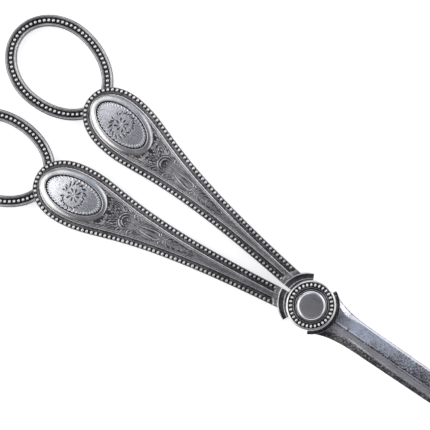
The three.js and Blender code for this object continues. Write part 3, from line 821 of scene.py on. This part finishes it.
def blade_collar():
    """The hollowed arc between the lobe and the blade, whose ends are the shoulder tabs."""
    # radius, depth under the inside face, tarnish
    radius, depth, tarnish_and_shade = np.array([
        (6.6, 1.0, 0.9), (6.95, 1.02, 0.6), (7.08, 1.12, 0.3), (7.18, 1.14, 0.45), (7.32, 1.0, 0.95),
        (7.55, 0.94, 1.0), (7.75, 1.02, 1.0), (7.92, 1.27, 0.9), (8.01, 1.4, 0.5),
        (SHOULDER_RADIUS, 1.36, 0.3), (SHOULDER_RADIUS, 0.1, 0.6), (7.97, 0.0, 0.4), (6.6, 0.0, 0.4)]).T
    angle = np.linspace(-SHOULDER_TO, SHOULDER_TO, COLLAR_STEPS)[:, None]
    shape = surface(radius * np.sin(angle), radius * np.cos(angle), LOBE_TOP - depth, tarnish_and_shade)
    return shape, end_rings(COLLAR_STEPS, len(radius))


def build_blade(half):
    """A lobe round the pivot, a hollowed collar, and a ridged blade with a bright bevel on one edge."""
    lobe = blade_lobe()
    collar, collar_ends = blade_collar()
    body, root = blade_body()
    before_collar = len(lobe[0])
    before_body = before_collar + len(collar[0])
    caps = [before_collar + ring for ring in collar_ends] + [before_body + root]
    half_piece(half, "blade", join(lobe, collar, body), "blade_silver", caps=caps, sharp=24)


# ---- bolsters

BOLSTER_STEPS = 110
BOLSTER_FROM, BOLSTER_TO = 3.5, 62.0  # degrees round the pivot from straight behind it


def build_bolster(half):
    """A hollowed arc standing behind the lobe, with a thin bright rim along its outside."""
    # share of the way out, height above the middle plane, tarnish
    upper = np.array([
        (0.0, 0.75, 0.8), (0.0, 1.08, 0.5), (0.04, 1.18, 0.3), (0.14, 1.22, 0.28), (0.22, 1.18, 0.45),
        (0.27, 1.1, 0.92), (0.38, 1.14, 0.75), (0.54, 1.28, 0.7), (0.68, 1.47, 0.68), (0.77, 1.62, 0.64),
        (0.81, 1.74, 0.35), (0.84, 1.84, 0.02), (0.88, 1.88, 0.0), (0.93, 1.85, 0.0), (0.97, 1.77, 0.02),
        (1.0, 1.64, 0.2), (1.0, 1.4, 0.5)])
    share, height, tarnish_and_shade = np.vstack([upper, upper[::-1] * (1, -1, 1)]).T
    angle = np.radians(np.linspace(BOLSTER_FROM, BOLSTER_TO, BOLSTER_STEPS))[:, None]
    far = BOLSTER_SHIFT * np.cos(angle) + np.sqrt(BOLSTER_ARC ** 2 - (BOLSTER_SHIFT * np.sin(angle)) ** 2)
    radius = BOLSTER_INNER + (far - BOLSTER_INNER) * share
    shape = surface(radius * np.sin(angle), -radius * np.cos(angle), MID_Z + height, tarnish_and_shade)
    half_piece(half, "bolster", shape, "oxidised_silver", caps=end_rings(BOLSTER_STEPS, len(share)))


# ---- pivot stack

BOSS_BEADS = 32
BOSS_BEAD_SIZE = 0.47
BOSS_RING_RADIUS = 5.66


def build_turned(node, profile, slot, **more):
    """A turned piece at the pivot, from (radius, height above the CAD piece's underside, tarnish)."""
    profile = np.array(profile, float)
    profile[:, 1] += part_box(node)[0].z / MM
    make_piece(node, "finger_half", turned(profile), slot, **more)


def build_boss_beads():
    """A ring of beads, each drawn out towards the rim, on the strip that carries them."""
    angle = full_circle(BOSS_BEADS)
    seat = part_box("boss_bead_ring")[0].z / MM
    centres = np.stack([BOSS_RING_RADIUS * np.cos(angle), BOSS_RING_RADIUS * np.sin(angle),
                        np.full(BOSS_BEADS, seat + 0.07)], 1)
    points, quads, dark = bead_row(centres, BOSS_BEAD_SIZE, seed=5)
    centres = np.repeat(centres, len(points) // BOSS_BEADS, axis=0)
    outward = centres * (1, 1, 0) / BOSS_RING_RADIUS
    offset = points - centres
    radial = np.einsum("ij,ij->i", offset, outward)[:, None] * outward
    points = points + 0.16 * radial - 0.14 * (offset - radial) * (1, 1, 0)
    bottom, top = seat - 0.23, seat - 0.05
    carrier = turned([(5.4, bottom, 1), (6.05, bottom, 1), (6.05, top, 1), (5.4, top, 1)], 120)
    shape = join((points, quads, dark), carrier)
    make_piece("boss_bead_ring", "finger_half", shape, "bead_silver")


def build_pivot():
    build_turned("pivot_pin", [
        (0.0, 0.03, 0.2), (1.9, 0.0, 0.2), (2.2, 0.0, 0.3), (2.28, 0.07, 0.9), (2.42, 0.07, 0.9),
        (2.5, 0.0, 0.3), (3.25, 0.0, 0.2), (3.42, 0.04, 0.2), (3.54, 0.14, 0.3), (3.6, 0.3, 0.4),
        (3.6, 0.6, 0.8), (1.7, 0.6, 0.8), (1.7, 5.3, 0.5), (0.0, 5.3, 0.5)], "oxidised_silver")
    build_turned("pivot_washer", [
        (1.95, 0.0, 0.5), (4.42, 0.0, 0.4), (4.5, 0.05, 0.3), (4.5, 0.15, 0.3), (4.42, 0.2, 0.4),
        (1.95, 0.2, 0.5)], "bronze")
    build_turned("boss", [
        (4.75, 0.02, 0.9), (6.7, 0.02, 0.8), (6.83, 0.08, 0.5), (6.9, 0.2, 0.4), (6.9, 0.75, 0.35),
        (6.86, 0.8, 0.8), (6.86, 0.86, 0.8), (6.9, 0.91, 0.3), (6.9, 1.1, 0.15), (6.88, 1.17, 0.02),
        (6.8, 1.25, 0.0), (6.68, 1.31, 0.0), (6.54, 1.36, 0.0), (6.42, 1.38, 0.02), (6.35, 1.34, 0.3),
        (6.31, 1.2, 0.75), (6.29, 1.05, 0.9), (6.26, 0.96, 1.0), (5.1, 0.96, 1.0), (5.02, 1.02, 0.8),
        (4.95, 1.14, 0.35), (4.88, 1.16, 0.3), (4.8, 1.12, 0.6), (4.72, 1.0, 1.0), (4.45, 0.96, 1.0),
        (1.95, 0.96, 1.0), (1.95, 0.45, 1.0), (4.75, 0.45, 1.0)], "oxidised_silver")
    build_turned("boss_button", [
        (0.0, 1.28, 0.1), (1.2, 1.275, 0.1), (2.4, 1.255, 0.1), (3.2, 1.225, 0.09), (3.5, 1.2, 0.06),
        (3.64, 1.15, 0.05), (3.78, 1.05, 0.06), (3.92, 0.89, 0.08), (4.05, 0.68, 0.1), (4.16, 0.44, 0.15),
        (4.24, 0.23, 0.3), (4.3, 0.13, 0.5), (4.38, 0.11, 0.2), (4.43, 0.05, 0.3), (4.43, -0.15, 0.8),
        (4.3, -0.23, 1.0), (0.0, -0.23, 1.0)], "polished_silver", material="button_silver")
    build_boss_beads()


# ---- materials

class Graph:
    """Adds nodes to the shader tree of a material or of the world."""

    def __init__(self, owner):
        owner.use_nodes = True
        self.nodes, self.links = owner.node_tree.nodes, owner.node_tree.links

    def feed(self, socket, value):
        """Links a socket to another node's output, or sets it to a constant."""
        if isinstance(value, bpy.types.NodeSocket):
            self.links.new(value, socket)
        else:
            socket.default_value = value

    def add(self, kind, inputs, output=0, **settings):
        """One output of a new node, given its settings and its inputs by name or number."""
        node = self.nodes.new("ShaderNode" + kind)
        for setting, value in settings.items():
            setattr(node, setting, value)
        for socket, value in inputs.items():
            self.feed(node.inputs[socket], value)
        return node.outputs[output]

    def maths(self, operation, first, second, clamp=False):
        return self.add("Math", {0: first, 1: second}, operation=operation, use_clamp=clamp)

    def spread(self, value, low, high, to_low=0.0, to_high=1.0, shape="LINEAR"):
        """A value's range from low to high spread over another range."""
        return self.add("MapRange", {
            "Value": value, "From Min": low, "From Max": high, "To Min": to_low, "To Max": to_high},
            "Result", interpolation_type=shape)

    def ramp(self, value, stops):
        """Colours blended by a value, from stops of (position, colour)."""
        node = self.nodes.new("ShaderNodeValToRGB")
        elements = node.color_ramp.elements
        elements[0].position, elements[1].position = stops[0][0], stops[-1][0]
        for position, _ in stops[1:-1]:
            elements.new(position)
        for element, (_, colour) in zip(elements, stops):
            element.color = (*colour, 1)
        self.links.new(value, node.inputs["Fac"])
        return node.outputs["Color"]


def silver(name, clean, dulled, oxide_and_shade, shine, haze, grain, scratch, speck):
    """Worn silver plate: bright where clean, dulled at middling tarnish, black at full tarnish, which stands
    for oxide and on some pieces for painted shade.
    """
    material = bpy.data.materials.new(name)
    graph = Graph(material)
    maths, spread = graph.maths, graph.spread
    place = graph.add("TexCoord", {}, "Object")
    # the tarnish channel: oxide, with painted shade where the pieces add it
    tarnish_and_shade = graph.add("Attribute", {}, "Fac", attribute_name="tarnish_and_shade")

    def noise(source, scale, detail, roughness):
        return graph.add("TexNoise", {
            "Vector": source, "Scale": scale, "Detail": detail, "Roughness": roughness}, "Fac")

    def stretched(scale, turn):
        return graph.add("Mapping", {
            "Vector": place, "Scale": scale, "Rotation": (0.0, 0.0, turn)}, "Vector")

    clouds = noise(place, 230.0, 5.0, 0.5)
    specks = noise(place, speck, 4.0, 0.65)
    lines = noise(stretched((9.0, 0.6, 1.0), 0.35), 420.0, 3.0, 0.6)
    cross = noise(stretched((0.7, 8.0, 1.0), -0.5), 420.0, 3.0, 0.6)
    patches = spread(clouds, 0.35, 0.7, -0.5 * haze, 0.5 * haze)
    speckle = spread(specks, 0.3, 0.7, -0.5 * grain, 0.5 * grain)
    mottle = maths("MULTIPLY", speckle, spread(tarnish_and_shade, 0.0, 0.7, 0.6, 1.6))
    amount = maths("ADD", maths("ADD", tarnish_and_shade, patches), mottle, clamp=True)
    colour = graph.ramp(amount, [(0.0, clean), (0.45, dulled), (1.0, oxide_and_shade)])
    wear = maths("ADD", spread(amount, 0.0, 1.0, shine, shine + 0.22), spread(lines, 0.35, 0.7, -0.03, 0.05))
    marks = maths("ADD", spread(lines, 0.3, 0.7, 0.0, 0.5), spread(cross, 0.3, 0.7, 0.0, 0.35))
    marks = maths("ADD", marks, spread(specks, 0.3, 0.7, 0.0, 0.4))
    bump = graph.add("Bump", {"Strength": scratch, "Distance": 0.00002, "Height": marks}, "Normal")
    inputs = graph.nodes["Principled BSDF"].inputs
    inputs["Metallic"].default_value = 1.0
    graph.feed(inputs["Base Color"], colour)
    graph.feed(inputs["Roughness"], maths("MAXIMUM", wear, 0.04))
    graph.feed(inputs["Normal"], bump)
    return material


OXIDE_AND_SHADE = (0.05, 0.047, 0.05)
# colours where clean, dulled and black, the black standing for oxide and for painted shade; shine, haze,
# grain, scratch, and the specks' fineness
LOOKS = {
    "oxidised_silver": ((0.82, 0.81, 0.81), (0.28, 0.27, 0.28), OXIDE_AND_SHADE, 0.2, 0.2, 0.3, 0.6, 1900.0),
    "bead_silver": ((0.88, 0.87, 0.85), (0.3, 0.29, 0.29), OXIDE_AND_SHADE, 0.14, 0.1, 0.12, 0.3, 1900.0),
    "polished_silver": ((0.84, 0.83, 0.83), (0.34, 0.33, 0.33), OXIDE_AND_SHADE, 0.13, 0.2, 0.12, 0.35, 1900.0),
    "plate_silver": ((0.87, 0.87, 0.92), (0.34, 0.34, 0.36), OXIDE_AND_SHADE, 0.2, 0.3, 0.5, 0.9, 1900.0),
    "button_silver": ((0.82, 0.82, 0.84), (0.34, 0.33, 0.34), OXIDE_AND_SHADE, 0.13, 0.5, 0.2, 0.45, 1900.0),
    "blade_silver": ((0.77, 0.785, 0.85), (0.31, 0.3, 0.31), OXIDE_AND_SHADE, 0.2, 0.3, 1.05, 0.45, 2500.0),
    "bronze": ((0.55, 0.37, 0.18), (0.3, 0.2, 0.1), (0.05, 0.03, 0.02), 0.3, 0.3, 0.3, 0.5, 1900.0),
}
MATERIALS = {name: silver(name, *look) for name, look in LOOKS.items()}


# ---- assembly

for half in ("finger", "thumb"):
    build_blade(half)
    build_bolster(half)
    build_handle(half)
    build_loop(half)
    for side in (1, -1):
        # turning the thumb half over swaps its front and its back
        face = "front" if (side > 0) == (half == "finger") else "back"
        build_bead_wire(half, face, side)
        build_bezel(half, face, side)
        build_plate(half, face, side)
        build_loop_beads(half, face, side)
build_pivot()


# ---- camera, floor and light

# The camera looks straight down. Its right and up directions in the part's frame:
VIEW_TURN = math.radians(34.25)
RIGHT = Vector((-math.sin(VIEW_TURN), math.cos(VIEW_TURN), 0))
UP = Vector((-math.cos(VIEW_TURN), -math.sin(VIEW_TURN), 0))
BACK = Vector((0, 0, 1))
VIEW_CENTRE = Vector((-5.69, -35.71, 4.0)) * MM
VIEW_WIDTH = 118.25 * MM
VIEW_DISTANCE = 0.55

camera = bpy.data.objects.new("camera", bpy.data.cameras.new("camera"))
bpy.context.scene.collection.objects.link(camera)
turn = Matrix((RIGHT, UP, BACK)).transposed().to_4x4()
camera.matrix_world = Matrix.Translation(VIEW_CENTRE + BACK * VIEW_DISTANCE) @ turn
camera.data.angle = 2 * math.atan(VIEW_WIDTH / 2 / VIEW_DISTANCE)
camera.data.clip_start = 0.01
camera.data.clip_end = 20.0
bpy.context.scene.camera = camera

FLOOR_REACH = 3.0
FLOOR_GAP = 0.0001
paper = bpy.data.materials.new("paper")
paper_inputs = Graph(paper).nodes["Principled BSDF"].inputs
for socket, value in {
        "Base Color": (0.93, 0.93, 0.93, 1), "Roughness": 0.9, "Specular IOR Level": 0.1,
        "Emission Color": (0.99, 0.995, 1.0, 1), "Emission Strength": 0.58}.items():
    paper_inputs[socket].default_value = value
floor_mesh = bpy.data.meshes.new("floor")
floor_corners = [(x * FLOOR_REACH, y * FLOOR_REACH, 0) for x, y in ((-1, -1), (1, -1), (1, 1), (-1, 1))]
floor_mesh.from_pydata(floor_corners, [], [(0, 1, 2, 3)])
floor_mesh.materials.append(paper)
floor = bpy.data.objects.new("floor", floor_mesh)
floor.location.z = -FLOOR_GAP
bpy.context.scene.collection.objects.link(floor)

# The sky's brightness by height, from the horizon to straight up
SKY_LEVELS = [(0.0, 0.95), (0.06, 0.9), (0.14, 0.5), (0.3, 0.3), (0.6, 0.21), (0.9, 0.165), (1.0, 0.155)]
# Soft-edged bright panels in it: heading in degrees from the picture's right; how far out each begins, how
# soft that edge is, how far out it ends, how soft that is; half its width; colour; strength
SOFTBOXES = [
    (190, (0.22, 0.16, 0.76, 0.14), 0.45, (1.0, 0.99, 0.97), 1.1),
    (236, (0.05, 0.1, 0.28, 0.2), 0.5, (1.0, 1.0, 1.0), 0.1),
    (146, (0.02, 0.26, 0.5, 0.2), 0.5, (1.0, 1.0, 0.99), 0.72),
    (2, (0.34, 0.18, 0.8, 0.14), 0.4, (0.98, 0.99, 1.0), 0.95),
    (64, (0.1, 0.16, 0.46, 0.2), 0.34, (0.66, 0.79, 1.0), 0.42),
    (50, (0.62, 0.18, 1.05, 0.02), 0.75, (0.97, 0.98, 1.0), 0.75),
]
SIDE_SOFTNESS = 0.15

world = bpy.data.worlds.new("studio")
bpy.context.scene.world = world
sky = Graph(world)
direction = sky.add("TexCoord", {}, "Generated")


def along_axis(axis):
    """How far each direction leans along an axis, from -1 to 1."""
    return sky.add("VectorMath", {0: direction, 1: axis}, "Value", operation="DOT_PRODUCT")


def rise(value, low, high):
    return sky.spread(value, low, high, shape="SMOOTHSTEP")


def softbox(heading, reach, half_width, strength):
    """How bright a panel is in each direction."""
    angle = math.radians(heading)
    outward = along_axis(math.cos(angle) * RIGHT + math.sin(angle) * UP)
    across = along_axis(math.cos(angle) * UP - math.sin(angle) * RIGHT)
    near, near_soft, far, far_soft = reach
    shape = sky.maths("MULTIPLY", rise(outward, near, near + near_soft), rise(outward, far + far_soft, far))
    for sign in (1, -1):
        edge = rise(sky.maths("MULTIPLY", across, sign), half_width + SIDE_SOFTNESS, half_width)
        shape = sky.maths("MULTIPLY", shape, edge)
    return sky.maths("MULTIPLY", shape, strength)


def sky_colour(level):
    """A faintly blue grey, bluer in the dim upper sky than near the horizon."""
    return 0.985 * level, 0.98 * level, (1.0 if level > 0.5 else 1.07) * level


total = sky.ramp(along_axis(BACK), [(height, sky_colour(level)) for height, level in SKY_LEVELS])
for heading, reach, half_width, colour, strength in SOFTBOXES:
    shape = softbox(heading, reach, half_width, strength)
    panel = sky.add("VectorMath", {0: colour, "Scale": shape}, "Vector", operation="SCALE")
    total = sky.add("VectorMath", {0: total, 1: panel}, "Vector", operation="ADD")
sky.feed(sky.nodes["Background"].inputs["Color"], total)

bpy.context.scene.view_settings.view_transform = "Standard"
